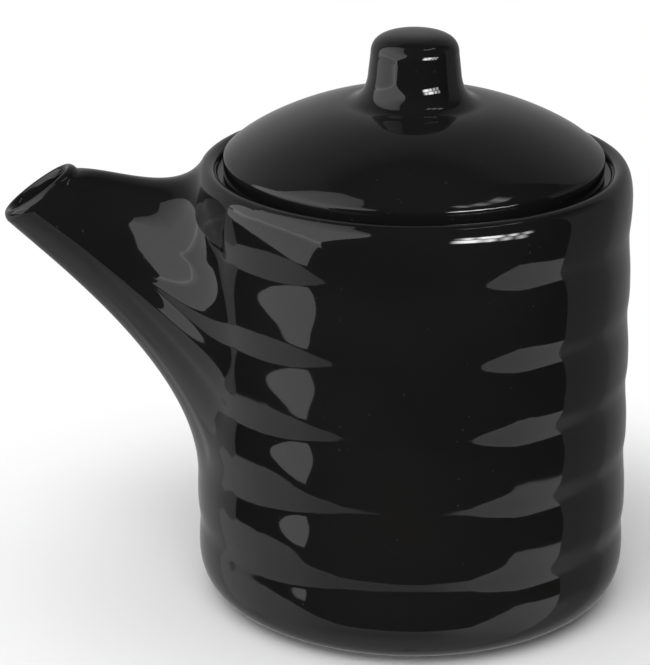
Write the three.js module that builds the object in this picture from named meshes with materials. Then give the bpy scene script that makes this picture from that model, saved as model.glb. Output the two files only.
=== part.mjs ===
// A small lidded pot for soy sauce, slip-cast in stoneware and glazed black.
// Two pieces: the pot, whose beak spout is cast in one with its wall, and a loose domed lid.
// Millimetres, +Z up, the spout points along -X and the pot stands on Z = 0.

import * as THREE from 'three';

// Body of the pot
const bodyRadius = 33.25;
const bodyTaper = 0.3;
const rimHeight = 69.2;
const wall = 3.1;
const floorThickness = 3.3;
const floorRounding = 9;

// Foot ring under the pot
const footRadius = 23;
const footWidth = 3.5;
const footDepth = 1.3;

// Rounded lower edge and shoulder of the pot
const baseRise = 12;
const baseReach = 11.5;
const baseLift = 4.9;
const shoulderDrop = 9.2;
const shoulderRise = 5.9;
const shoulderFlare = 0.4;
const shoulderReach = 1.8;

// Thrown rings on the wall
const ringPitch = 11.66;
const ringDepth = 0.3;
const lowestGroove = 11.2;
const crestShare = 0.38;
const grooveSharpness = 1.5;

// Rim, ledge and neck that take the lid
const lipCrestRadius = 31.1;
const lipRounding = 1.4;
const seatHeight = 67.6;
const seatWidth = 3.5;
const neckRounding = 0.5;
const collarHeight = 3.2;
const collarSlope = 3.6;

// Mouth of the spout, an oblique oval with a rounded lip
const mouthCentreX = -56.3;
const mouthHeight = 64.4;
const mouthLength = 13.3;
const mouthWidth = 11.4;
const mouthSlope = 35.6;
const lipWall = 1.8;

// Root of the spout on the outside of the wall, and of its bore on the inside
const rootTopGap = 0.8;
const rootLow = 19.5;
const rootHalfWidth = 20;
const boreTopGap = 1.5;
const boreLow = 25;
const boreHalfWidth = 14;
const rootEgg = 0.15;

// How hard the spout's lines leave root and mouth, and their tilt at the mouth in degrees
const spoutLines = {
  rootPull: { top: 21, side: 35, bottom: 50 },
  mouthPull: { top: 15, side: 24, bottom: 31 },
  mouthTilt: { top: -8, side: 26, bottom: 45 },
};
const boreLines = {
  rootPull: { top: 6, side: 20, bottom: 34 },
  mouthPull: { top: 18, side: 22, bottom: 36 },
  mouthTilt: { top: 20, side: 28, bottom: 42 },
};

// Lid
const lidGap = 1;
const lidSide = 2.5;
const lidEdgeRounding = 1;
const lidEdgeAngle = 46;
const lidSeatRounding = 0.5;
const lidRise = 11.3;
const lidWall = 3.2;
const domeFlank = 5.1;
const domeCrown = 6.2;
const crownSlope = 0.11;
const vaultReach = 7.7;
const vaultDrop = 6.4;
const flangeGap = 1;
const flangeWall = 2.6;
const flangeDepth = 6.5;

// Knob on the lid, hollow from below as slip-casting leaves it
const knobFootRadius = 7.3;
const knobTopRadius = 6.65;
const knobHeight = 10.5;
const knobFillet = 1.1;
const knobCrown = 3.3;
const knobShoulder = 0.5;
const knobFlat = 4;
const knobHollowRadius = 3.1;
const knobHollowDepth = 6;

// Fineness of the surfaces
const segments = 48;
const windowColumns = 6;
const windowRows = 24;
const patchRings = 2;
const spoutRings = 9;
const boreRings = 8;
const lipRings = 4;
const baseSteps = 8;
const floorSteps = 4;
const bendSteps = 8;
const filletSteps = 3;
const arcStep = 22.5;
const halvings = 30;

const turn = 2 * Math.PI;
const radians = THREE.MathUtils.degToRad;
const point = (x, y) => new THREE.Vector2(x, y);

// One glossy black glaze all over
const glaze = new THREE.MeshStandardMaterial({ color: 0x121213, roughness: 0.12, metalness: 0 });

// Part of a circle as profile points, angles in degrees
function arcPoints(centreX, centreY, radius, from, to) {
  const steps = Math.ceil(Math.abs(to - from) / arcStep);
  return Array.from({ length: steps + 1 }, (_, i) => {
    const angle = radians(from + (to - from) * i / steps);
    return point(centreX + radius * Math.cos(angle), centreY + radius * Math.sin(angle));
  });
}

// Distance of the wall from the axis: a slight taper, and shallow rings with narrow
// grooves and broad crests, each crest low in its ring
function wallRadius(height, depth) {
  const rings = (height - lowestGroove) / ringPitch;
  const along = rings - Math.floor(rings);
  const phase = along < crestShare
    ? 0.5 * along / crestShare
    : 0.5 + 0.5 * (along - crestShare) / (1 - crestShare);
  const groove = Math.pow(0.5 + 0.5 * Math.cos(turn * phase), grooveSharpness);
  return bodyRadius - bodyTaper * height / rimHeight - depth * groove;
}

// The ringed stretch of the wall, from the rounded lower edge to the shoulder
const shoulderStart = rimHeight - shoulderDrop;
class RingedWall extends THREE.Curve {
  constructor(depth) {
    super();
    this.depth = depth;
  }

  getPoint(t, target = new THREE.Vector2()) {
    const height = THREE.MathUtils.lerp(baseRise, shoulderStart, t);
    return target.set(wallRadius(height, this.depth), height);
  }
}

// Outside of the pot, from the foot ring over the shoulder to the crest of the rim
function outsideProfile(depth) {
  const wallStart = wallRadius(baseRise, depth);
  const wallEnd = wallRadius(shoulderStart, depth);
  const profile = new THREE.CurvePath();
  profile.add(new THREE.CubicBezierCurve(
    point(footRadius, 0),
    point(footRadius + baseReach, 0),
    point(wallStart, baseRise - baseLift),
    point(wallStart, baseRise),
  ));
  profile.add(new RingedWall(depth));
  profile.add(new THREE.CubicBezierCurve(
    point(wallEnd, shoulderStart),
    point(wallEnd + shoulderFlare, shoulderStart + shoulderRise),
    point(lipCrestRadius + shoulderReach, rimHeight),
    point(lipCrestRadius, rimHeight),
  ));
  return profile;
}
const outside = outsideProfile(ringDepth);
const plainOutside = outsideProfile(0);

// Inside of the pot, from under the collar down the plain wall to the flat floor
const mouthRadius = lipCrestRadius - lipRounding;
const neckRadius = mouthRadius - seatWidth;
const innerRadius = bodyRadius - wall;
const collarBottom = seatHeight - collarHeight;
const chamberTop = collarBottom - collarSlope;
const floorHeight = footDepth + floorThickness;
const inside = new THREE.CurvePath();
inside.add(new THREE.LineCurve(point(innerRadius, chamberTop), point(innerRadius, baseRise)));
inside.add(new THREE.QuadraticBezierCurve(
  point(innerRadius, baseRise),
  point(innerRadius, floorHeight),
  point(innerRadius - floorRounding, floorHeight),
));

// Share of a profile's length at which it first reaches a height
function shareAtHeight(profile, height) {
  const start = profile.getPoint(0).y;
  let low = 0;
  let high = 1;
  for (let i = 0; i < halvings; i++) {
    const middle = (low + high) / 2;
    const passed = Math.abs(profile.getPoint(middle).y - start) >= Math.abs(height - start);
    if (passed) high = middle;
    else low = middle;
  }
  return high;
}

// A place on the pot: an angle round the axis from the spout's side, and a share of a profile
function onWall(profile, { across, share }) {
  const place = profile.getPoint(share);
  const angle = Math.PI - across;
  return new THREE.Vector3(place.x * Math.cos(angle), place.x * Math.sin(angle), place.y);
}

// A value that runs smoothly round the spout from its top over its sides to its bottom
function roundSpout({ top, side, bottom }, angle) {
  const upright = Math.cos(angle);
  const middle = (top + bottom) / 2 + upright * (top - bottom) / 2;
  return THREE.MathUtils.lerp(side, middle, upright * upright);
}

// The egg-shaped line on the wall where the spout or its bore starts. The plain profile is
// the wall without its rings, whose slope would throw folds into the spout.
function rootOval({ profile, plain, topShare, bottomShare, halfAngle }) {
  const middle = { across: 0, share: (topShare + bottomShare) / 2 };
  const place = (angle) => ({
    across: halfAngle * Math.sin(angle) * (1 + rootEgg * Math.cos(angle)),
    share: middle.share + Math.cos(angle) * (topShare - bottomShare) / 2,
  });
  return { profile, plain, middle, place };
}

// Direction along the wall from a place of the oval towards its middle
function towardsMiddle(oval, angle) {
  const step = 0.02;
  const edge = oval.place(angle);
  const nearer = {
    across: THREE.MathUtils.lerp(edge.across, oval.middle.across, step),
    share: THREE.MathUtils.lerp(edge.share, oval.middle.share, step),
  };
  return onWall(oval.plain, nearer).sub(onWall(oval.plain, edge)).normalize();
}

// The mouth of the spout, drawn in by the wall of its lip for the bore.
// Lift moves it out of its plane, which rounds the lip.
const mouthCentre = new THREE.Vector3(mouthCentreX, 0, mouthHeight);
const mouthUphill = new THREE.Vector3(Math.cos(radians(mouthSlope)), 0, Math.sin(radians(mouthSlope)));
const mouthOutward = new THREE.Vector3(-mouthUphill.z, 0, mouthUphill.x);
function mouthPlace(angle, inset, lift = 0) {
  return mouthCentre.clone()
    .addScaledVector(mouthUphill, (mouthLength / 2 - inset) * Math.cos(angle))
    .add(new THREE.Vector3(0, (mouthWidth / 2 - inset) * Math.sin(angle), 0))
    .addScaledVector(mouthOutward, lift);
}

// A point of the spout or its bore: a Hermite line that leaves the wall along its surface,
// so that the spout grows out of the pot in one smooth sweep, and ends at the mouth
function spoutPlace(oval, lines, inset, angle, t) {
  const t2 = t * t;
  const t3 = t2 * t;
  const tilt = radians(roundSpout(lines.mouthTilt, angle));
  const rootPull = towardsMiddle(oval, angle).multiplyScalar(roundSpout(lines.rootPull, angle));
  const mouthPull = new THREE.Vector3(-Math.cos(tilt), 0, Math.sin(tilt))
    .multiplyScalar(roundSpout(lines.mouthPull, angle));
  return new THREE.Vector3()
    .addScaledVector(onWall(oval.profile, oval.place(angle)), 2 * t3 - 3 * t2 + 1)
    .addScaledVector(rootPull, t3 - 2 * t2 + t)
    .addScaledVector(mouthPlace(angle, inset), 3 * t2 - 2 * t3)
    .addScaledVector(mouthPull, t3 - t2);
}

// The pot: one closed skin from the underside over the rim to the floor inside, with a
// window in its outer and its inner wall, and the spout as a tube from window to window
function makePot() {
  const vertices = [];
  const triangles = [];
  const addVertex = (place) => vertices.push(place.x, place.y, place.z) / 3 - 1;
  const addRing = ({ x: radius, y: height }) => Array.from({ length: segments }, (_, i) => {
    const angle = turn * i / segments;
    return addVertex(new THREE.Vector3(radius * Math.cos(angle), radius * Math.sin(angle), height));
  });
  const addQuad = (a, b, c, d) => triangles.push(a, b, c, a, c, d);
  const addLoop = (places) => places.map(addVertex);
  const joinLoops = (loops) => loops.slice(1).forEach((loop, i) => {
    const before = loops[i];
    loop.forEach((corner, k) => {
      const next = (k + 1) % loop.length;
      addQuad(before[k], before[next], loop[next], corner);
    });
  });

  // Middle column and half width of the windows, in columns of the skin
  const spoutColumn = segments / 2;
  const inWindow = (column) => column >= spoutColumn - windowColumns && column < spoutColumn + windowColumns;
  const joinRows = (rows, open) => rows.slice(1).forEach((row, i) => {
    for (let column = 0; column < segments; column++) {
      if (open && inWindow(column)) continue;
      const next = (column + 1) % segments;
      addQuad(rows[i][column], rows[i][next], row[next], row[column]);
    }
  });

  // Rows of a profile between two shares of its length, both included
  const rowShares = (from, to, count) => Array.from(
    { length: count + 1 },
    (_, i) => THREE.MathUtils.lerp(from, to, i / count),
  );
  const addRows = (profile, shares) => shares.map((share) => addRing(profile.getPoint(share)));

  // Outline of a window from the middle of its top over the +Y side round to the -Y side.
  // Rows run from top to bottom. Each node knows its place and its angle round the spout.
  const outline = (rows, shares) => {
    const last = rows.length - 1;
    const steps = [];
    for (let c = 0; c < windowColumns; c++) steps.push([0, c]);
    for (let r = 0; r < last; r++) steps.push([r, windowColumns]);
    for (let c = windowColumns; c > -windowColumns; c--) steps.push([last, c]);
    for (let r = last; r > 0; r--) steps.push([r, -windowColumns]);
    for (let c = -windowColumns; c < 0; c++) steps.push([0, c]);
    return steps.map(([row, column]) => ({
      vertex: rows[row][spoutColumn - column],
      across: turn * column / segments,
      share: shares[row],
      angle: Math.atan2(column / windowColumns, 1 - 2 * row / last),
    }));
  };
  // Loops on the wall between a window's outline and the oval inside it, the oval last
  const patchLoops = (nodes, oval) => Array.from({ length: patchRings }, (_, i) => {
    const share = (i + 1) / patchRings;
    return addLoop(nodes.map((node) => {
      const edge = oval.place(node.angle);
      return onWall(oval.profile, {
        across: THREE.MathUtils.lerp(node.across, edge.across, share),
        share: THREE.MathUtils.lerp(node.share, edge.share, share),
      });
    }));
  });

  // Underside with its foot ring
  const underside = [
    point(footRadius - footWidth - footDepth, footDepth),
    point(footRadius - footWidth, 0),
  ].map(addRing);
  const baseShares = rowShares(0, shareAtHeight(outside, baseRise), baseSteps);
  const baseRows = addRows(outside, baseShares);
  const wallShares = rowShares(baseShares.at(-1), 1, windowRows);
  const wallRows = [baseRows.at(-1), ...addRows(outside, wallShares.slice(1))];

  // Rounded lip, ledge for the lid, neck and collar
  const rimRows = [
    ...arcPoints(lipCrestRadius, rimHeight - lipRounding, lipRounding, 90, 180).slice(1),
    point(mouthRadius, seatHeight),
    ...arcPoints(neckRadius + neckRounding, seatHeight - neckRounding, neckRounding, 90, 180),
    point(neckRadius, collarBottom),
  ].map(addRing);

  // Inner wall with its window, and the floor
  const innerShares = rowShares(0, shareAtHeight(inside, baseRise), windowRows);
  const innerRows = addRows(inside, innerShares);
  const floorRows = addRows(inside, rowShares(innerShares.at(-1), 1, floorSteps)).slice(1);

  joinRows([...underside, ...baseRows], false);
  joinRows(wallRows, true);
  joinRows([wallRows.at(-1), ...rimRows, innerRows[0]], false);
  joinRows(innerRows, true);
  joinRows([innerRows.at(-1), ...floorRows], false);
  const lowMiddle = addVertex(new THREE.Vector3(0, 0, footDepth));
  const floorMiddle = addVertex(new THREE.Vector3(0, 0, floorHeight));
  for (let column = 0; column < segments; column++) {
    const next = (column + 1) % segments;
    triangles.push(lowMiddle, underside[0][next], underside[0][column]);
    triangles.push(floorMiddle, floorRows.at(-1)[column], floorRows.at(-1)[next]);
  }

  // The spout's outside, its lip and its bore, as one run of loops from window to window
  const outerNodes = outline([...wallRows].reverse(), [...wallShares].reverse());
  const innerNodes = outline(innerRows, innerShares);
  const angles = outerNodes.map((node) => node.angle);
  const outerOval = rootOval({
    profile: outside,
    plain: plainOutside,
    topShare: 1 - rootTopGap / outside.getLength(),
    bottomShare: shareAtHeight(outside, rootLow),
    halfAngle: rootHalfWidth / bodyRadius,
  });
  const boreOval = rootOval({
    profile: inside,
    plain: inside,
    topShare: shareAtHeight(inside, chamberTop - boreTopGap),
    bottomShare: shareAtHeight(inside, boreLow),
    halfAngle: boreHalfWidth / innerRadius,
  });
  const spoutLoops = Array.from({ length: spoutRings }, (_, i) => addLoop(
    angles.map((angle) => spoutPlace(outerOval, spoutLines, 0, angle, (i + 1) / spoutRings)),
  ));
  const lipLoops = Array.from({ length: lipRings - 1 }, (_, i) => {
    const roll = Math.PI * (i + 1) / lipRings;
    const inset = lipWall * (1 - Math.cos(roll)) / 2;
    return addLoop(angles.map((angle) => mouthPlace(angle, inset, Math.sin(roll) * lipWall / 2)));
  });
  const boreLoops = Array.from({ length: boreRings }, (_, i) => addLoop(
    angles.map((angle) => spoutPlace(boreOval, boreLines, lipWall, angle, 1 - i / boreRings)),
  ));
  joinLoops([
    outerNodes.map((node) => node.vertex),
    ...patchLoops(outerNodes, outerOval),
    ...spoutLoops,
    ...lipLoops,
    ...boreLoops,
    ...patchLoops(innerNodes, boreOval).reverse(),
    innerNodes.map((node) => node.vertex),
  ]);

  const geometry = new THREE.BufferGeometry();
  geometry.setAttribute('position', new THREE.Float32BufferAttribute(vertices, 3));
  geometry.setIndex(triangles);
  geometry.computeVertexNormals();
  const pot = new THREE.Mesh(geometry, glaze);
  pot.name = 'pot_body';
  return pot;
}

// The lid: a domed disc whose edge rests on the ledge, with a flange that keeps it in the
// neck and a knob, turned as one profile from the knob's hollow round to its crown
function makeLid() {
  const lidRadius = mouthRadius - lidGap;
  const flangeRadius = neckRadius - flangeGap;
  const flangeInner = flangeRadius - flangeWall;
  const flangeTip = flangeWall / 2;
  const flangeEnd = seatHeight - flangeDepth;
  const sideTop = seatHeight + lidSide;
  const domeTop = seatHeight + lidRise;
  const ceiling = domeTop - lidWall;
  const knobTop = domeTop + knobHeight;
  const hollowRound = ceiling + knobHollowDepth - knobHollowRadius;
  const edgeArc = arcPoints(lidRadius - lidEdgeRounding, sideTop, lidEdgeRounding, 0, lidEdgeAngle);
  const flank = point(-Math.sin(radians(lidEdgeAngle)), Math.cos(radians(lidEdgeAngle)));
  const vault = new THREE.CubicBezierCurve(
    point(knobHollowRadius + knobFillet, ceiling),
    point(flangeInner - vaultReach, ceiling),
    point(flangeInner, ceiling - vaultDrop / 2),
    point(flangeInner, ceiling - vaultDrop),
  );
  const dome = new THREE.CubicBezierCurve(
    edgeArc.at(-1),
    edgeArc.at(-1).clone().addScaledVector(flank, domeFlank),
    point(knobFootRadius + knobFillet + domeCrown, domeTop - domeCrown * crownSlope),
    point(knobFootRadius + knobFillet, domeTop),
  );
  const knobFoot = new THREE.QuadraticBezierCurve(
    point(knobFootRadius + knobFillet, domeTop),
    point(knobFootRadius, domeTop + knobFillet * crownSlope),
    point(knobFootRadius, domeTop + knobFillet),
  );
  const crown = new THREE.CubicBezierCurve(
    point(knobTopRadius, knobTop - knobCrown),
    point(knobTopRadius, knobTop - knobShoulder),
    point(knobFlat, knobTop),
    point(0, knobTop),
  );
  const profile = [
    ...arcPoints(0, hollowRound, knobHollowRadius, 90, 0),
    point(knobHollowRadius, ceiling + knobFillet),
    ...vault.getPoints(bendSteps),
    ...arcPoints(flangeInner + flangeTip, flangeEnd + flangeTip, flangeTip, 180, 360),
    point(flangeRadius, seatHeight),
    ...arcPoints(lidRadius - lidSeatRounding, seatHeight + lidSeatRounding, lidSeatRounding, 270, 360),
    ...edgeArc,
    ...dome.getPoints(bendSteps).slice(1),
    ...knobFoot.getPoints(filletSteps).slice(1),
    ...crown.getPoints(bendSteps),
  ];
  const geometry = new THREE.LatheGeometry(profile, segments);
  geometry.rotateX(Math.PI / 2);
  const lid = new THREE.Mesh(geometry, glaze);
  lid.name = 'lid';
  return lid;
}

// Both pieces stand in the middle of the length from the spout's tip to the back of the pot
const saucePot = new THREE.Group();
saucePot.add(makePot(), makeLid());
const reach = new THREE.Box3().setFromObject(saucePot);
saucePot.position.x = -(reach.min.x + reach.max.x) / 2;
saucePot.updateMatrixWorld(true);

export default saucePot;
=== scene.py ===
# A small lidded pot for soy sauce in glossy black glaze, on a white table in a dark studio.
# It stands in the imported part's frame, in metres: the spout points along -X, the camera is at -Y.

import math
from bisect import bisect

import bmesh
import bpy
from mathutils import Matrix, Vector, noise
from mathutils.geometry import interpolate_bezier


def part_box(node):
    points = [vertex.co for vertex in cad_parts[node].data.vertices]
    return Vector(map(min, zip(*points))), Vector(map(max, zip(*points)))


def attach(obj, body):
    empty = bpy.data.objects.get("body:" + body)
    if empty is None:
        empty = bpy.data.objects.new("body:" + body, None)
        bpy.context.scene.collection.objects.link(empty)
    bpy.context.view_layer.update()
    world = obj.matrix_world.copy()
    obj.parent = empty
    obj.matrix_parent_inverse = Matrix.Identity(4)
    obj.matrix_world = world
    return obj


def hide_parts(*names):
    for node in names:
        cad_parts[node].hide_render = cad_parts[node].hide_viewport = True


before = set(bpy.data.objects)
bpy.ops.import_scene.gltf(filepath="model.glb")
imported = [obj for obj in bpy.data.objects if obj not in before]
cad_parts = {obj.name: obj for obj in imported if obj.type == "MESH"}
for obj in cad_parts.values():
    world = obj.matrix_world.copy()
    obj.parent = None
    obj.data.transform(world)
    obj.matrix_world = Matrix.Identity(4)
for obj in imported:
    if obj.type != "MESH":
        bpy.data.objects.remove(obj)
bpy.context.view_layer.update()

# The pot: floor, ringed wall, shoulder, rim, ledge and beak spout, slip-cast as one piece of
# stoneware. Its profile is spun round the axis, in millimetres, and the spout is a run of
# loops extruded from a window in the outer wall, round the lip and back to the inner wall.
lid_low, lid_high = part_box("lid")
axis_x = (lid_low.x + lid_high.x) / 2
mm = 0.001

columns = 144
window_columns = 18
wall_rows = 112
wall_foot = 12.0
shoulder_start = 61.0
shoulder_pull = 4.6
rim_height = 69.2
rim_roll = 1.4
rim_radius = 31.1
seat_height = 67.6
neck_radius = 26.2
inner_radius = 30.15
chamber_top = 60.8
floor_height = 4.6
foot_inner, foot_outer = 19.5, 23
recess_radius, recess_height = 18.2, 1.3

crest_radius = 33.25
taper = 0.3
ring_depth = 0.3
grooves = (0.7, 12.1, 23.95, 35.1, 46.2, 58.55, 70.5)
groove_shares = (1, 1.15, 1, 1, 1, 1, 1)
crest_at = 0.38


def wall_radius(height, depth):
    """Distance of the outer wall from the axis, with broad rings between narrow grooves."""
    i = bisect(grooves, height) - 1
    along = (height - grooves[i]) / (grooves[i + 1] - grooves[i])
    if along < crest_at:
        share, turn = groove_shares[i], along / crest_at
    else:
        share, turn = groove_shares[i + 1], 1 + (along - crest_at) / (1 - crest_at)
    groove = share * (0.5 + 0.5 * math.cos(math.pi * turn)) ** 1.5
    return crest_radius - taper * height / rim_height - depth * groove


class Line:
    """A line of the profile on which a place is found by its distance from the start."""

    def __init__(self, places):
        self.places = [Vector(place) for place in places]
        self.reach = [0.0]
        for before, after in zip(self.places, self.places[1:]):
            self.reach.append(self.reach[-1] + (after - before).length)
        self.length = self.reach[-1]

    def at(self, distance):
        i = min(max(bisect(self.reach, distance), 1), len(self.places) - 1)
        share = (distance - self.reach[i - 1]) / (self.reach[i] - self.reach[i - 1])
        return self.places[i - 1].lerp(self.places[i], share)

    def distance_to(self, height):
        return next(r for r, place in zip(self.reach, self.places) if place.y <= height)

    def spread(self, count):
        return [self.at(self.length * i / count) for i in range(count + 1)]


def outer_line(depth):
    """The outer wall from the crest of the rim over the shoulder down to its rounded edge."""
    top = wall_radius(shoulder_start, depth)
    over, under = (wall_radius(shoulder_start + step, depth) for step in (0.05, -0.05))
    flare = (over - under) / 0.1
    shoulder = interpolate_bezier(
        (rim_radius, rim_height), (rim_radius + 1.8, rim_height),
        (top + shoulder_pull * flare, shoulder_start + shoulder_pull), (top, shoulder_start), 300,
    )
    heights = [shoulder_start - (shoulder_start - wall_foot) * i / 1200 for i in range(1, 1201)]
    return Line(shoulder + [(wall_radius(height, depth), height) for height in heights])


def arc(centre, radius, start, end, count):
    """Part of a circle in the profile, angles in degrees."""
    angles = [math.radians(start + (end - start) * i / count) for i in range(count + 1)]
    return [centre + radius * Vector((math.cos(a), math.sin(a))) for a in angles]


def rounded(before, corner, after, reach, count=5):
    """A small rounding in place of a corner of the profile."""
    before, corner, after = Vector(before), Vector(corner), Vector(after)
    start = corner + (before - corner).normalized() * reach
    end = corner + (after - corner).normalized() * reach
    return interpolate_bezier(start, start.lerp(corner, 0.55), end.lerp(corner, 0.55), end, count)


outer = outer_line(ring_depth)
plain_outer = outer_line(0)
inner = Line([(inner_radius, chamber_top), (inner_radius, wall_foot)])
recess_line = Line([(0, recess_height), (recess_radius - 0.5, recess_height)])
foot_line = Line([(foot_inner + 0.4, 0), (foot_outer, 0)])
foot_edge = wall_radius(wall_foot, ring_depth)
seat_line = Line([(29.3, seat_height), (neck_radius + 0.5, seat_height)])
floor_line = Line([(21.15, floor_height), (0, floor_height)])

before_wall = [
    *recess_line.spread(10),
    *rounded((0, recess_height), (recess_radius, recess_height), (foot_inner, 0), 0.5)[1:],
    *rounded((recess_radius, recess_height), (foot_inner, 0), (foot_outer, 0), 0.4),
    *foot_line.spread(3)[1:],
    *interpolate_bezier(
        (foot_outer, 0), (34.4, 0), (foot_edge + 0.25, 7.1), (foot_edge, wall_foot), 34)[1:-1],
]
rim = [
    *arc(Vector((rim_radius, rim_height - rim_roll)), rim_roll, 90, 165, 9)[1:],
    *rounded((29.75, 68.2), (29.7, seat_height), (27, seat_height), 0.4),
    *seat_line.spread(4)[1:-1],
    *arc(Vector((neck_radius + 0.5, seat_height - 0.5)), 0.5, 90, 180, 6),
    *rounded((neck_radius, 67), (neck_radius, 64.4), (inner_radius, chamber_top), 0.5),
]
after_wall = [
    *interpolate_bezier(
        (inner_radius, wall_foot), (inner_radius, 7.067), (27.15, floor_height),
        (21.15, floor_height), 16)[1:],
    *floor_line.spread(8)[1:],
]

pot_mesh = bmesh.new()
zone = pot_mesh.verts.layers.int.new("zone")
row_of = pot_mesh.verts.layers.int.new("row")
column_of = pot_mesh.verts.layers.float.new("column")
outside_zone, inside_zone = 1, 2


def add_profile(mesh, places):
    """Vertices and edges of a profile on the spout's side of the axis."""
    vertices = [mesh.verts.new((-place[0], 0, place[1])) for place in places]
    edges = [mesh.edges.new(pair) for pair in zip(vertices, vertices[1:])]
    return vertices, edges


outer_rows = [outer.at(outer.length * i / wall_rows) for i in range(wall_rows + 1)]
inner_rows = [inner.at(inner.length * i / wall_rows) for i in range(wall_rows + 1)]
profile = before_wall + outer_rows[::-1] + rim + inner_rows + after_wall
vertices, edges = add_profile(pot_mesh, profile)
first = len(before_wall)
for i in range(wall_rows + 1):
    vertex = vertices[first + wall_rows - i]
    vertex[zone], vertex[row_of] = outside_zone, i
first += wall_rows + 1 + len(rim)
for i in range(wall_rows + 1):
    vertex = vertices[first + i]
    vertex[zone], vertex[row_of] = inside_zone, i
bmesh.ops.spin(
    pot_mesh, geom=vertices + edges, cent=(0, 0, 0), axis=(0, 0, 1),
    angle=2 * math.pi, steps=columns, use_merge=True,
)
bmesh.ops.remove_doubles(pot_mesh, verts=pot_mesh.verts, dist=0.0005)
for vertex in pot_mesh.verts:
    across = math.atan2(vertex.co.y, -vertex.co.x)
    vertex[column_of] = round(across * columns / (2 * math.pi))


def in_window(face):
    zones = {vertex[zone] for vertex in face.verts}
    if zones != {outside_zone} and zones != {inside_zone}:
        return False
    middle = face.calc_center_median()
    return abs(math.atan2(middle.y, -middle.x)) < 2 * math.pi * window_columns / columns


bmesh.ops.delete(pot_mesh, geom=[f for f in pot_mesh.faces if in_window(f)], context="FACES")


def on_wall(line, across, distance):
    """A point of the wall, at an angle from the spout and a distance down the wall's line."""
    place = line.at(distance)
    return Vector((-place.x * math.cos(across), place.x * math.sin(across), place.y))


def round_spout(top, side, bottom, angle):
    """A value that runs smoothly round the spout from its top over its sides to its bottom."""
    upright = math.cos(angle)
    middle = (top + bottom) / 2 + upright * (top - bottom) / 2
    return side + (middle - side) * upright * upright


class Oval:
    """The egg-shaped line on the wall where the spout or its bore starts."""

    def __init__(self, line, plain, top, bottom, half_angle):
        self.line, self.plain = line, plain
        self.middle, self.half_height = (top + bottom) / 2, (bottom - top) / 2
        self.half_angle = half_angle

    def place(self, angle):
        across = self.half_angle * math.sin(angle) * (1 + 0.15 * math.cos(angle))
        return across, self.middle - math.cos(angle) * self.half_height

    def towards_middle(self, angle):
        across, distance = self.place(angle)
        edge = on_wall(self.plain, across, distance)
        nearer = on_wall(self.plain, across * 0.98, distance + (self.middle - distance) * 0.02)
        return (nearer - edge).normalized()


spout_foot = 19.5
bore_foot = 25
outer_oval = Oval(outer, plain_outer, 0.8, outer.distance_to(spout_foot), 20 / crest_radius)
bore_oval = Oval(inner, inner, 1.5, chamber_top - bore_foot, 14 / inner_radius)
# How far each line is pulled along the wall and at the mouth, and how many degrees up it comes
# to the mouth, each at the top, the side and the bottom of the spout.
outer_pull = {"root": (21, 35, 50), "mouth": (15, 24, 31), "tilt": (-8, 26, 45)}
bore_pull = {"root": (6, 20, 34), "mouth": (18, 22, 36), "tilt": (20, 28, 42)}
lip_wall = 1.8
lip_foot, lip_top = -0.45, 0.9
mouth_centre = Vector((-56.3, 0, 64.4))
mouth_length, mouth_width = 2 * 6.65, 2 * 5.7
mouth_slope = math.radians(35.6)
uphill = Vector((math.cos(mouth_slope), 0, math.sin(mouth_slope)))
outward = Vector((-uphill.z, 0, uphill.x))


def mouth_place(angle, inset, lift):
    """A point of the mouth, inset from its outline towards the bore and lifted off its plane."""
    across = Vector((0, (mouth_width / 2 - inset) * math.sin(angle), 0))
    along = uphill * (mouth_length / 2 - inset) * math.cos(angle)
    return mouth_centre + along + across + outward * lift


def spout_place(oval, pull, inset, angle, t):
    """A point of a line that leaves the wall along its surface and ends at the mouth."""
    tilt = math.radians(round_spout(*pull["tilt"], angle))
    root = on_wall(oval.line, *oval.place(angle))
    root_pull = oval.towards_middle(angle) * round_spout(*pull["root"], angle)
    mouth_pull = Vector((-math.cos(tilt), 0, math.sin(tilt))) * round_spout(*pull["mouth"], angle)
    return (
        root * (2 * t ** 3 - 3 * t ** 2 + 1) + root_pull * (t ** 3 - 2 * t ** 2 + t)
        + mouth_place(angle, inset, lip_foot) * (3 * t ** 2 - 2 * t ** 3)
        + mouth_pull * (t ** 3 - t ** 2)
    )


def lane(vertex):
    """Angle round the spout of a vertex that came from the window's outline."""
    return math.atan2(vertex[column_of] / window_columns, 1 - 2 * vertex[row_of] / wall_rows)


def patch_place(oval, vertex, share):
    """A point on the wall between the window's outline and the oval inside it."""
    across, distance = oval.place(lane(vertex))
    start = 2 * math.pi * vertex[column_of] / columns
    from_row = oval.line.length * vertex[row_of] / wall_rows
    return on_wall(
        oval.line, start + (across - start) * share, from_row + (distance - from_row) * share)


def grow(edges, place):
    """One more loop of faces, whose new vertices go to their places."""
    grown = bmesh.ops.extrude_edge_only(pot_mesh, edges=edges)["geom"]
    for vertex in (g for g in grown if isinstance(g, bmesh.types.BMVert)):
        vertex.co = place(vertex)
    return [g for g in grown if isinstance(g, bmesh.types.BMEdge) and g.is_boundary]


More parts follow.
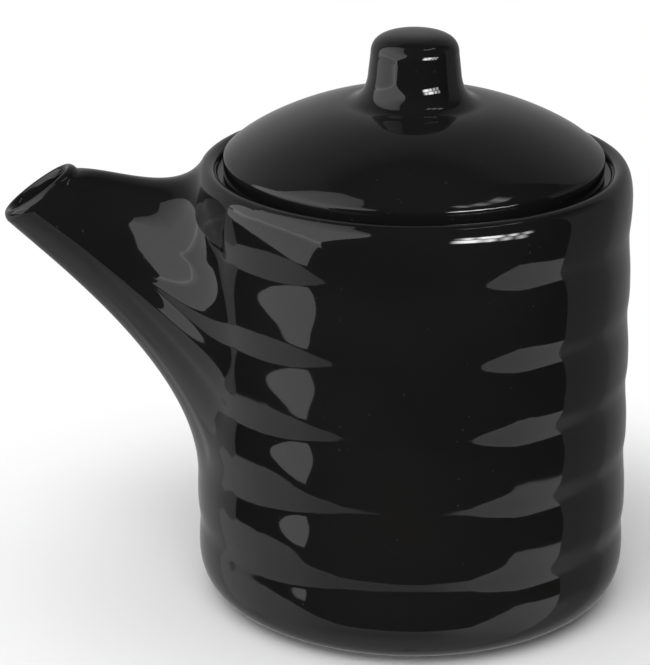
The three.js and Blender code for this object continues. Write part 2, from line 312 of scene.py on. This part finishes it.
patch_loops, spout_loops, lip_loops, bore_loops = 10, 44, 12, 28
loop = [
    e for e in pot_mesh.edges
    if e.is_boundary and all(vertex[zone] == outside_zone for vertex in e.verts)
]
for i in range(1, patch_loops + 1):
    loop = grow(loop, lambda v: patch_place(outer_oval, v, i / patch_loops))
for i in range(1, spout_loops + 1):
    loop = grow(loop, lambda v: spout_place(outer_oval, outer_pull, 0, lane(v), i / spout_loops))
for i in range(1, lip_loops):
    roll = math.pi * i / lip_loops
    inset = lip_wall * (1 - math.cos(roll)) / 2
    lift = lip_foot + (lip_top - lip_foot) * math.sin(roll)
    loop = grow(loop, lambda v: mouth_place(lane(v), inset, lift))
for i in range(bore_loops + 1):
    loop = grow(
        loop, lambda v: spout_place(bore_oval, bore_pull, lip_wall, lane(v), 1 - i / bore_loops))
for i in range(patch_loops - 1, -1, -1):
    loop = grow(loop, lambda v: patch_place(bore_oval, v, i / patch_loops))
bmesh.ops.remove_doubles(pot_mesh, verts=pot_mesh.verts, dist=0.002)


def hand_made(mesh, seed, amount):
    """Draws the surface in by hundredths of a millimetre, as slip-cast ware is never true."""
    mesh.normal_update()
    moves = []
    for vertex in mesh.verts:
        wobble = noise.noise(vertex.co * 0.035 + Vector((seed, 0, 0)))
        ripple = noise.noise(Vector((vertex.co.x * 0.09, vertex.co.y * 0.09, vertex.co.z * 0.16 + seed)))
        fade = min(1, max(0, vertex.co.z - 0.6) / 3)
        moves.append(-vertex.normal * fade * (amount * (0.5 + wobble) + amount * 0.35 * ripple))
    for vertex, move in zip(mesh.verts, moves):
        vertex.co += move


def finish_mesh(mesh, name, seed, amount):
    """Turns the normals out, adds the hand's unevenness and puts the mesh in its place."""
    bmesh.ops.recalc_face_normals(mesh, faces=mesh.faces)
    hand_made(mesh, seed, amount)
    bmesh.ops.scale(mesh, vec=(mm, mm, mm), verts=mesh.verts)
    bmesh.ops.translate(mesh, vec=(axis_x, 0, 0), verts=mesh.verts)
    for face in mesh.faces:
        face.smooth = True
    data = bpy.data.meshes.new(name)
    mesh.to_mesh(data)
    mesh.free()
    piece = bpy.data.objects.new(name, data)
    bpy.context.scene.collection.objects.link(piece)
    return piece


pot = finish_mesh(pot_mesh, "pot", 3.7, 0.06)


def node_in(tree, kind, label="", **values):
    """A new node whose sockets or settings of these names get these values."""
    node = tree.nodes.new(kind)
    node.label = label
    for name, value in values.items():
        if name in node.inputs:
            node.inputs[name].default_value = value
        else:
            setattr(node, name, value)
    return node


def live(sockets, name):
    """The socket of that name that is in use, as a Mix node has several of each name."""
    return next(socket for socket in sockets if socket.name == name and socket.enabled)


def make_glaze_group():
    """Black glaze: pools of slightly warmer and cooler black, orange peel, pinholes and dust."""
    group = bpy.data.node_groups.new("glaze_surface", "ShaderNodeTree")
    group.interface.new_socket("Dust", in_out="INPUT", socket_type="NodeSocketFloat")
    group.interface.new_socket("Peel", in_out="INPUT", socket_type="NodeSocketFloat")
    group.interface.new_socket("Color", in_out="OUTPUT", socket_type="NodeSocketColor")
    group.interface.new_socket("Roughness", in_out="OUTPUT", socket_type="NodeSocketFloat")
    group.interface.new_socket("Height", in_out="OUTPUT", socket_type="NodeSocketFloat")
    link = group.links.new
    given = node_in(group, "NodeGroupInput")
    result = node_in(group, "NodeGroupOutput")
    place = node_in(group, "ShaderNodeTexCoord").outputs["Object"]

    pool = node_in(group, "ShaderNodeTexNoise", "pools of glaze", Scale=38.0, Detail=3.0)
    link(place, pool.inputs["Vector"])
    tone = node_in(group, "ShaderNodeValToRGB", "black")
    tone.color_ramp.elements[0].position = 0.32
    tone.color_ramp.elements[0].color = (0.0062, 0.0063, 0.0067, 1)
    tone.color_ramp.elements[1].position = 0.7
    tone.color_ramp.elements[1].color = (0.0090, 0.0085, 0.0082, 1)
    link(pool.outputs["Fac"], tone.inputs["Fac"])

    grain = node_in(group, "ShaderNodeTexNoise", "dust", Scale=1500.0, Detail=1.0)
    link(place, grain.inputs["Vector"])
    speck = node_in(group, "ShaderNodeMapRange", "specks", **{
        "From Min": 0.75, "From Max": 0.785, "To Min": 0.0, "To Max": 1.0})
    link(grain.outputs["Fac"], speck.inputs["Value"])
    dust = node_in(group, "ShaderNodeMath", "dust on the glaze", operation="MULTIPLY")
    link(speck.outputs["Result"], dust.inputs[0])
    link(given.outputs["Dust"], dust.inputs[1])
    dusted = node_in(group, "ShaderNodeMix", "dusted black", data_type="RGBA")
    live(dusted.inputs, "B").default_value = (0.12, 0.115, 0.11, 1)
    link(dust.outputs["Value"], live(dusted.inputs, "Factor"))
    link(tone.outputs["Color"], live(dusted.inputs, "A"))
    link(live(dusted.outputs, "Result"), result.inputs["Color"])

    haze = node_in(group, "ShaderNodeTexNoise", "handling marks", Scale=90.0, Detail=4.0)
    link(place, haze.inputs["Vector"])
    sheen = node_in(group, "ShaderNodeMapRange", "gloss", **{
        "From Min": 0.35, "From Max": 0.75, "To Min": 0.035, "To Max": 0.065})
    link(haze.outputs["Fac"], sheen.inputs["Value"])
    dull = node_in(group, "ShaderNodeMath", "dust is dull", operation="MULTIPLY_ADD")
    dull.inputs[1].default_value = 0.4
    link(dust.outputs["Value"], dull.inputs[0])
    link(sheen.outputs["Result"], dull.inputs[2])
    link(dull.outputs["Value"], result.inputs["Roughness"])

    peel = node_in(group, "ShaderNodeTexNoise", "orange peel", Scale=330.0, Detail=2.0)
    link(place, peel.inputs["Vector"])
    peel_height = node_in(group, "ShaderNodeMath", "peel height", operation="MULTIPLY")
    link(peel.outputs["Fac"], peel_height.inputs[0])
    link(given.outputs["Peel"], peel_height.inputs[1])
    holes = node_in(group, "ShaderNodeTexVoronoi", "pinholes", Scale=190.0)
    link(place, holes.inputs["Vector"])
    pit = node_in(group, "ShaderNodeMapRange", "pits", **{
        "From Min": 0.03, "From Max": 0.075, "To Min": -1.2, "To Max": 0.0})
    link(holes.outputs["Distance"], pit.inputs["Value"])
    surface = node_in(group, "ShaderNodeMath", "surface height", operation="ADD")
    link(peel_height.outputs["Value"], surface.inputs[0])
    link(pit.outputs["Result"], surface.inputs[1])
    link(surface.outputs["Value"], result.inputs["Height"])
    return group


glaze_group = make_glaze_group()


def make_ware(name, low, high):
    """Glazed stoneware whose bare clay shows between two heights on its underside."""
    material = bpy.data.materials.new(name)
    material.use_nodes = True
    tree = material.node_tree
    link = tree.links.new
    shader = tree.nodes["Principled BSDF"]
    shader.inputs["IOR"].default_value = 1.5
    glaze = node_in(tree, "ShaderNodeGroup", "glaze")
    glaze.node_tree = glaze_group
    glaze.inputs["Dust"].default_value = 0.11
    glaze.inputs["Peel"].default_value = 1.0

    place = node_in(tree, "ShaderNodeTexCoord").outputs["Object"]
    split = node_in(tree, "ShaderNodeSeparateXYZ")
    link(place, split.inputs["Vector"])
    waver = node_in(tree, "ShaderNodeTexNoise", "wiped edge", Scale=160.0, Detail=2.0)
    link(place, waver.inputs["Vector"])
    height = node_in(tree, "ShaderNodeMath", "height", operation="MULTIPLY_ADD")
    height.inputs[1].default_value = 0.00012
    link(waver.outputs["Fac"], height.inputs[0])
    link(split.outputs["Z"], height.inputs[2])
    above = node_in(tree, "ShaderNodeMath", "over the band's low edge", operation="GREATER_THAN")
    above.inputs[1].default_value = low
    below = node_in(tree, "ShaderNodeMath", "under its high edge", operation="LESS_THAN")
    below.inputs[1].default_value = high
    bare = node_in(tree, "ShaderNodeMath", "bare clay", operation="MULTIPLY")
    for test in (above, below):
        link(height.outputs["Value"], test.inputs[0])
    link(above.outputs["Value"], bare.inputs[0])
    link(below.outputs["Value"], bare.inputs[1])

    clay = node_in(tree, "ShaderNodeTexNoise", "clay", Scale=1200.0, Detail=4.0)
    link(place, clay.inputs["Vector"])
    clay_tone = node_in(tree, "ShaderNodeValToRGB", "buff clay")
    clay_tone.color_ramp.elements[0].color = (0.33, 0.27, 0.21, 1)
    clay_tone.color_ramp.elements[1].color = (0.52, 0.45, 0.37, 1)
    link(clay.outputs["Fac"], clay_tone.inputs["Fac"])

    colour = node_in(tree, "ShaderNodeMix", "glaze or clay", data_type="RGBA")
    link(bare.outputs["Value"], live(colour.inputs, "Factor"))
    link(glaze.outputs["Color"], live(colour.inputs, "A"))
    link(clay_tone.outputs["Color"], live(colour.inputs, "B"))
    link(live(colour.outputs, "Result"), shader.inputs["Base Color"])
    rough = node_in(tree, "ShaderNodeMix", "gloss or matt")
    live(rough.inputs, "B").default_value = 0.82
    link(bare.outputs["Value"], live(rough.inputs, "Factor"))
    link(glaze.outputs["Roughness"], live(rough.inputs, "A"))
    link(live(rough.outputs, "Result"), shader.inputs["Roughness"])
    bump = node_in(tree, "ShaderNodeBump", "surface", Strength=1.0, Distance=0.000004)
    link(glaze.outputs["Height"], bump.inputs["Height"])
    link(bump.outputs["Normal"], shader.inputs["Normal"])
    return material


pot.data.materials.append(make_ware("pot_glaze", -0.001, 0.00018))
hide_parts("pot_body")
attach(pot, "pot")

# The lid: a domed disc cast in the same stoneware, with a flange that keeps it in the neck and
# a knob that is hollow from below. It lies loose on the pot's ledge, on its bare edge.
disc_radius = 28.7
edge_height, edge_turn = 70.1, 46
hollow_radius, hollow_top = 3.1, 78.6
vault_top, vault_foot = 75.7, 69.3
flange_inner, flange_outer, flange_end = 22.6, 25.2, 62.4
knob_foot = (10.6, 78.65)
knob_waist = (6.97, 83.2)
knob_shoulder = (6.65, 86.1)
knob_top = 89.4

lid_edge = arc(Vector((disc_radius - 1, edge_height)), 1.0, 0, edge_turn, 8)
flank = Vector((-math.sin(math.radians(edge_turn)), math.cos(math.radians(edge_turn))))
flange_middle = (flange_inner + flange_outer) / 2
underside = seat_height + 0.5
vault = Line(interpolate_bezier(
    (4.2, vault_top), (14.9, vault_top), (flange_inner, 72.5), (flange_inner, vault_foot), 200))
dome = Line(interpolate_bezier(
    lid_edge[-1], lid_edge[-1] + flank * 5.0, (15.9, 78.07), knob_foot, 400))
knob_crown = Line(interpolate_bezier(
    knob_shoulder, (knob_shoulder[0], 88.9), (4, knob_top), (0, knob_top), 200))
lid_profile = [
    *arc(Vector((0, hollow_top)), hollow_radius, 90, 0, 12),
    *rounded((hollow_radius, hollow_top), (hollow_radius, vault_top), (14, vault_top), 1.1, 7),
    *vault.spread(36)[1:],
    *Line([(flange_inner, vault_foot), (flange_inner, flange_end)]).spread(10)[1:-1],
    *arc(Vector((flange_middle, flange_end)), flange_middle - flange_inner, 180, 360, 16),
    *Line([(flange_outer, flange_end), (flange_outer, seat_height - 0.3)]).spread(8)[1:-1],
    *rounded((flange_outer, 64), (flange_outer, seat_height), (28, seat_height), 0.3),
    *Line([(flange_outer + 0.3, seat_height), (disc_radius - 0.5, seat_height)]).spread(4)[1:-1],
    *arc(Vector((disc_radius - 0.5, underside)), 0.5, 270, 360, 6),
    *Line([(disc_radius, underside), (disc_radius, edge_height)]).spread(4)[1:-1],
    *lid_edge,
    *dome.spread(60)[1:],
    *interpolate_bezier(knob_foot, (8.5, 78.88), (7.18, 80.3), knob_waist, 20)[1:],
    *Line([knob_waist, knob_shoulder]).spread(8)[1:-1],
    *knob_crown.spread(26),
]
lid_mesh = bmesh.new()
lid_vertices, lid_edges = add_profile(lid_mesh, lid_profile)
bmesh.ops.spin(
    lid_mesh, geom=lid_vertices + lid_edges, cent=(0, 0, 0), axis=(0, 0, 1),
    angle=2 * math.pi, steps=192, use_merge=True,
)
bmesh.ops.remove_doubles(lid_mesh, verts=lid_mesh.verts, dist=0.0005)
lid = finish_mesh(lid_mesh, "lid_and_knob", 8.2, 0.04)
lid.data.materials.append(make_ware("lid_glaze", 0.0675, 0.0678))
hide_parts("lid")
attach(lid, "lid")

# The table: a wide top in matt white paint, on which the pot stands. Near the pot it takes the
# pot's shadow, and further out the camera sees it as plain white.
table_reach = 1.6
shadow_reach = 0.1


def table_white(name):
    """White paint that takes the pot's shadow, and hides nothing from a camera below the table."""
    material = bpy.data.materials.new(name)
    material.use_nodes = True
    tree = material.node_tree
    link = tree.links.new
    paint = tree.nodes["Principled BSDF"]
    paint.inputs["Base Color"].default_value = (0.9, 0.9, 0.9, 1)
    paint.inputs["Roughness"].default_value = 0.7
    paint.inputs["Specular IOR Level"].default_value = 0.2
    place = node_in(tree, "ShaderNodeTexCoord").outputs["Object"]
    centred = node_in(tree, "ShaderNodeMapping", "from the pot's axis", Location=(-axis_x, 0, 0))
    link(place, centred.inputs["Vector"])
    reach = node_in(tree, "ShaderNodeVectorMath", "distance", operation="LENGTH")
    link(centred.outputs["Vector"], reach.inputs[0])
    fade = node_in(tree, "ShaderNodeMapRange", "away from the pot", **{
        "From Min": 0.036, "From Max": shadow_reach, "To Min": 0.0, "To Max": 1.0})
    fade.interpolation_type = "SMOOTHERSTEP"
    link(reach.outputs["Value"], fade.inputs["Value"])
    rays = node_in(tree, "ShaderNodeLightPath")
    share = node_in(tree, "ShaderNodeMath", "camera only", operation="MULTIPLY")
    link(fade.outputs["Result"], share.inputs[0])
    link(rays.outputs["Is Camera Ray"], share.inputs[1])
    white = node_in(tree, "ShaderNodeEmission", "white", Color=(1, 1, 1, 1), Strength=1.0)
    both = node_in(tree, "ShaderNodeMixShader")
    link(share.outputs["Value"], both.inputs[0])
    link(paint.outputs["BSDF"], both.inputs[1])
    link(white.outputs["Emission"], both.inputs[2])
    below = node_in(tree, "ShaderNodeMath", "from below", operation="MULTIPLY")
    link(node_in(tree, "ShaderNodeNewGeometry").outputs["Backfacing"], below.inputs[0])
    link(rays.outputs["Is Camera Ray"], below.inputs[1])
    open_below = node_in(tree, "ShaderNodeMixShader")
    link(below.outputs["Value"], open_below.inputs[0])
    link(both.outputs["Shader"], open_below.inputs[1])
    link(node_in(tree, "ShaderNodeBsdfTransparent").outputs["BSDF"], open_below.inputs[2])
    link(open_below.outputs["Shader"], tree.nodes["Material Output"].inputs["Surface"])
    return material


def add_stage(mesh, name, material):
    data = bpy.data.meshes.new(name)
    mesh.to_mesh(data)
    mesh.free()
    thing = bpy.data.objects.new(name, data)
    bpy.context.scene.collection.objects.link(thing)
    thing.data.materials.append(material)
    return thing


table_mesh = bmesh.new()
bmesh.ops.create_grid(table_mesh, x_segments=8, y_segments=8, size=table_reach)
table = add_stage(table_mesh, "table", table_white("table_white"))
table.visible_glossy = False

# The studio as the glaze shows it: white ground, soft box, grey card, dim backdrop and two rows
# of windows. They are sheets that only the gloss sees, hung round the front of the pot.
# Azimuths and heights are in degrees, seen from there, azimuth from the camera, left negative.
pot_front = Vector((axis_x, -0.03, 0.05))


def towards(azimuth, height):
    """The direction from the front of the pot to an azimuth and height."""
    az, up = math.radians(azimuth), math.radians(height)
    return Vector((math.sin(az) * math.cos(up), -math.cos(az) * math.cos(up), math.sin(up)))


def make_glow():
    """Light as strong as the mesh's own brightness says, from corner to corner."""
    material = bpy.data.materials.new("studio_glow")
    material.use_nodes = True
    tree = material.node_tree
    level = node_in(tree, "ShaderNodeAttribute", "brightness", attribute_name="brightness")
    glow = node_in(tree, "ShaderNodeEmission", "glow", Color=(1, 1, 1, 1))
    tree.links.new(level.outputs["Fac"], glow.inputs["Strength"])
    tree.links.new(glow.outputs["Emission"], tree.nodes["Material Output"].inputs["Surface"])
    return material


studio_glow = make_glow()


def glow_sheet(name, uprights, distance):
    """A sheet of uprights from left to right, each a run of (azimuth, height, brightness)."""
    mesh = bmesh.new()
    brightness = mesh.verts.layers.float.new("brightness")
    runs = []
    for upright in uprights:
        run = []
        for azimuth, height, level in upright:
            vertex = mesh.verts.new(pot_front + towards(azimuth, height) * distance)
            vertex[brightness] = level
            run.append(vertex)
        runs.append(run)
    for left, right in zip(runs, runs[1:]):
        for corners in zip(left, right, right[1:], left[1:]):
            mesh.faces.new(corners)
    bmesh.ops.triangulate(mesh, faces=mesh.faces)
    sheet = add_stage(mesh, name, studio_glow)
    sheet.visible_camera = sheet.visible_diffuse = sheet.visible_shadow = False
    return sheet


near, far = 0.6, 1.8
ground_edge = [
    (-125, -20.5, 0.55), (-112, -20.5, 0.62), (-98, -20.5, 0.65), (-85, -20.5, 0.66),
    (-77, -21.3, 0.66), (-69, -22.5, 0.65), (-62, -25, 0.58), (-54, -29, 0.5), (-48, -31, 0.47),
    (-42, -34.5, 0.45), (-31, -36.3, 0.43), (-20, -37, 0.42), (-10, -38, 0.42), (0, -38.3, 0.42),
    (8, -38, 0.44), (15, -37.3, 0.5), (24, -36.5, 0.66), (33, -35, 0.8), (39, -30.5, 0.85),
    (47, -26, 0.87), (56, -22.3, 0.9), (64, -22, 0.92), (75, -22.5, 0.95), (86, -22.5, 0.95),
]
# The white ground sheet's low rows, at 0.4 to 0.42 and 0.7 of its edge's level, are painted shade: they
# stand in for the pot's own shadow on the table round its foot.
glow_sheet("white_ground", [
    [(az, -88, 0.4), (az, -60, 0.42), (az, -45, 0.7 * level), (az, height, level)]
    for az, height, level in ground_edge], far)
glow_sheet("grey_card", [
    [
        (az, -88, 0.3), (az, -50, 0.3), (az, -30, low),
        (az, -24, level), (az, 14, level), (az, 40, 0.0),
    ]
    for az, low, level in (
        (86, 0.42, 0.19), (93, 0.36, 0.18), (100, 0.3, 0.17), (107, 0.24, 0.17),
        (115, 0.2, 0.16), (124, 0.2, 0.17))
], far)
glow_sheet("backdrop", [
    [
        (az, -88, 0.35), (az, -40, 0.33), (az, -22, level), (az, 5, level),
        (az, 22, 0.95 * level), (az, 32, 0.75 * level), (az, 45, 0.5 * level),
        (az, 57, 0.3 * level), (az, 66, 0),
    ]
    for az, level in (
        (124, 0.2), (132, 0.24), (140, 0.26), (150, 0.27), (160, 0.28), (170, 0.33), (180, 0.37),
        (190, 0.39), (200, 0.4), (210, 0.4), (220, 0.4), (230, 0.4), (240, 0.35), (252, 0.3))
], far)
wall_low_edge = [
    (-112, -5), (-100, -8.5), (-92, -11.5), (-85, -14), (-77, -17.5),
    (-70, -21), (-65, -22.5), (-60, -23), (-50, -6),
]
wall_high_edge = [
    (-112, 5), (-100, 5), (-92, 5), (-85, 5), (-77, 5),
    (-70, 3), (-65, 0.5), (-60, -1.5), (-49.5, -5),
]
glow_sheet("soft_box_wall", [
    [(*low, 1.25), (*high, 1.25)] for low, high in zip(wall_low_edge, wall_high_edge)
], near)
glow_sheet("soft_box_seam", [
    [
        (az, mid - 5, 1.28), (az, mid - 1.2, 1.7), (az, mid, 2.5),
        (az, mid + 1.5, 1.9), (az, mid + 5, 1.5),
    ]
    for az, mid in ((-108, 6), (-96, 6.6), (-84, 6.8), (-75, 6), (-67, 4), (-58, 0.5), (-49.5, -4))
], near - 0.005)
glow_sheet("soft_box_roof", [
    [(*low, 1.55), ((low[0] + high[0]) / 2, 0.55 * low[1] + 0.45 * high[1], 1.5), (*high, 0.75)]
    for low, high in (
        ((-112, 7), (-113, 57)), ((-100, 7.5), (-107, 67)), ((-88, 8), (-98, 70)),
        ((-75, 7), (-84, 73)), ((-60, 2), (-70, 71)), ((-51.5, -4), (-58, 66)),
        ((-41, 6), (-46, 56)), ((-31, 15), (-36, 46)), ((-25, 24), (-26, 36)))
], near)


def light_row(name, first, last, radiance, shares):
    """A row of soft lights between two spots, each a share as bright as radiance."""
    steps = len(shares) - 1
    glow_sheet(name, [
        [
            (first[0] + (last[0] - first[0]) * i / steps,
             first[1] + (last[1] - first[1]) * i / steps + rise, radiance * share * level)
            for rise, level in ((-3.6, 0), (-2.2, 1), (2.2, 1), (3.6, 0))
        ]
        for i, share in enumerate(shares)], near)


light_row(
    "windows_low", (17, 10), (60, 4.5), 24, (0, 0.7, 1, 1, 0.45, 0.8, 0.08, 0.5, 0.05, 0.4, 0))
light_row(
    "windows_high", (19, 17), (64, 10.5), 24,
    (0, 0.2, 0.9, 0.3, 1, 0.9, 0.9, 0.1, 0.7, 0.05, 0.4, 0))
light_row("ceiling_lights", (48, 71), (101, 59), 3.5, (0, 1, 0.2, 0.9, 0.1, 0.8, 0))

# The lamps, which the gloss doesn't show: one broad and soft from above for the table, one
# from the front, so that the wall is lit about as strongly as the lid.


def make_lamp(name, azimuth, height, distance, width, radiance):
    """A square soft lamp that faces the front of the pot and stays out of its gloss."""
    data = bpy.data.lights.new(name, "AREA")
    data.shape = "SQUARE"
    data.size = width
    data.energy = radiance * math.pi * width * width
    lamp = bpy.data.objects.new(name, data)
    lamp.location = pot_front + towards(azimuth, height) * distance
    lamp.rotation_euler = towards(azimuth, height).to_track_quat("Z", "Y").to_euler()
    lamp.visible_glossy = False
    bpy.context.scene.collection.objects.link(lamp)
    return lamp


make_lamp("top_light", -30, 82, 1.4, 2.8, 1.2)
make_lamp("front_light", -15, 34, 1.2, 1.4, 2.4)

# The world lights nothing. The camera sees it as the white behind the table.
studio = bpy.data.worlds.new("studio")
bpy.context.scene.world = studio
studio.use_nodes = True
backdrop_light = studio.node_tree.nodes["Background"]
backdrop_light.inputs["Color"].default_value = (1, 1, 1, 1)
world_rays = node_in(studio.node_tree, "ShaderNodeLightPath")
studio.node_tree.links.new(
    world_rays.outputs["Is Camera Ray"], backdrop_light.inputs["Strength"])

# The camera: a long lens from half a metre, 20 degrees above the table, as in the photo.
# The pot stands a little right of its middle, because the spout reaches out to the left.
camera_data = bpy.data.cameras.new("camera")
camera_data.lens = 173.2
camera_data.clip_start = 0.01
camera = bpy.data.objects.new("camera", camera_data)
camera.location = (axis_x - 0.01337, -0.4608, 0.2100)
camera.rotation_euler = (math.radians(90 - 20.05), 0, 0)
bpy.context.scene.collection.objects.link(camera)
bpy.context.scene.camera = camera
bpy.context.scene.view_settings.view_transform = "Standard"
